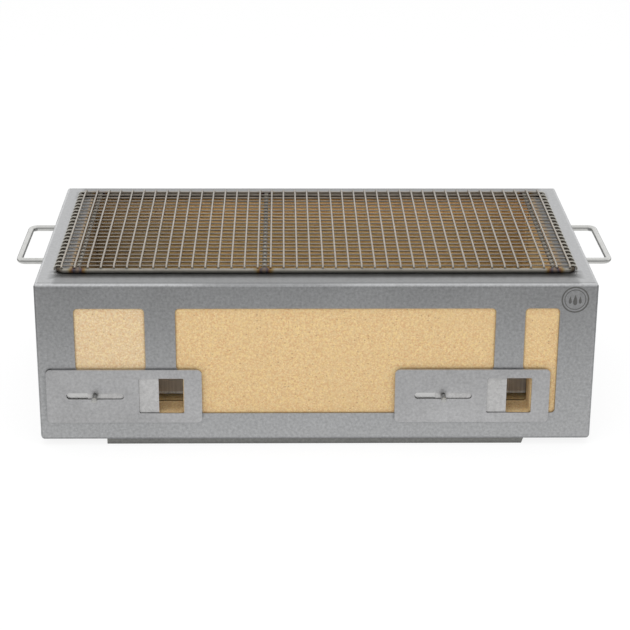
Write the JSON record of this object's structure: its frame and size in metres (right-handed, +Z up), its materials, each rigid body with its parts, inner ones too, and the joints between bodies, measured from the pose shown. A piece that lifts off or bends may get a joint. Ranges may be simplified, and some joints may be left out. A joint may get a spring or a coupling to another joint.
{
  "type": "hibachi grill",
  "caption": "Table-top charcoal grill: folded steel box lined with refractory board, with sliding front air vents, side rod handles and a wire cooking net.",
  "frame": {"origin": "centre of the footprint, on the plane the plinth stands on", "axes": "+Z up; +X to the right as seen by a person facing the vents; the face with the vents and windows looks along -Y"},
  "size_m": [0.778, 0.4203, 0.2285],
  "materials": {
    "casing_steel": "fine matt grain, stainless sheet",
    "vent_steel": "fine matt grain, laser-cut stainless plate",
    "shutter_steel": "bright rolled stainless sheet",
    "bright_steel": "drawn stainless rod and turned hardware",
    "net_steel": "drawn stainless rod and wire, heat tinted at the welds",
    "grate_steel": "heat-darkened steel plate",
    "plinth_steel": "matt stainless sheet",
    "refractory_board": "unglazed speckled insulating board"
  },
  "bodies": {
    "body": {"casing_shell": "casing_steel", "bottom_panel": "casing_steel", "base_plinth": "plinth_steel", "bottom_screws": "bright_steel", "vent_guides_left": "vent_steel", "vent_guides_right": "vent_steel", "vent_plate_left": "vent_steel", "vent_plate_right": "vent_steel", "handle_left": "bright_steel", "handle_right": "bright_steel", "handle_washers": "bright_steel", "handle_nuts": "bright_steel", "front_slab": "refractory_board", "back_slab": "refractory_board", "left_slab": "refractory_board", "right_slab": "refractory_board", "floor_slab_left": "refractory_board", "floor_slab_centre": "refractory_board", "floor_slab_right": "refractory_board"},
    "left_shutter": {"vent_shutter_left": "shutter_steel", "shutter_knob_left": "bright_steel"},
    "right_shutter": {"vent_shutter_right": "shutter_steel", "shutter_knob_right": "bright_steel"},
    "grill_net": {"net_frame": "net_steel", "net_cross_rods": "net_steel", "net_long_wires": "net_steel", "net_short_wires": "net_steel"},
    "fire_grate": {"charcoal_grate": "grate_steel"}
  },
  "joints": [
    {"name": "left_shutter_slide", "type": "slide", "parent": "body", "child": "left_shutter", "axis": [1, 0, 0], "range_m": [-0.031, 0.031]},
    {"name": "right_shutter_slide", "type": "slide", "parent": "body", "child": "right_shutter", "axis": [1, 0, 0], "range_m": [-0.031, 0.031]},
    {"name": "net_lift", "type": "slide", "parent": "body", "child": "grill_net", "axis": [0, 0, 1], "range_m": [0, 0.4]},
    {"name": "grate_lift", "type": "slide", "parent": "body", "child": "fire_grate", "axis": [0, 0, 1], "range_m": [0, 0.2]}
  ],
  "couplings": [
    {"joint": "grate_lift", "follows": "net_lift", "ratio": 0.5}
  ]
}
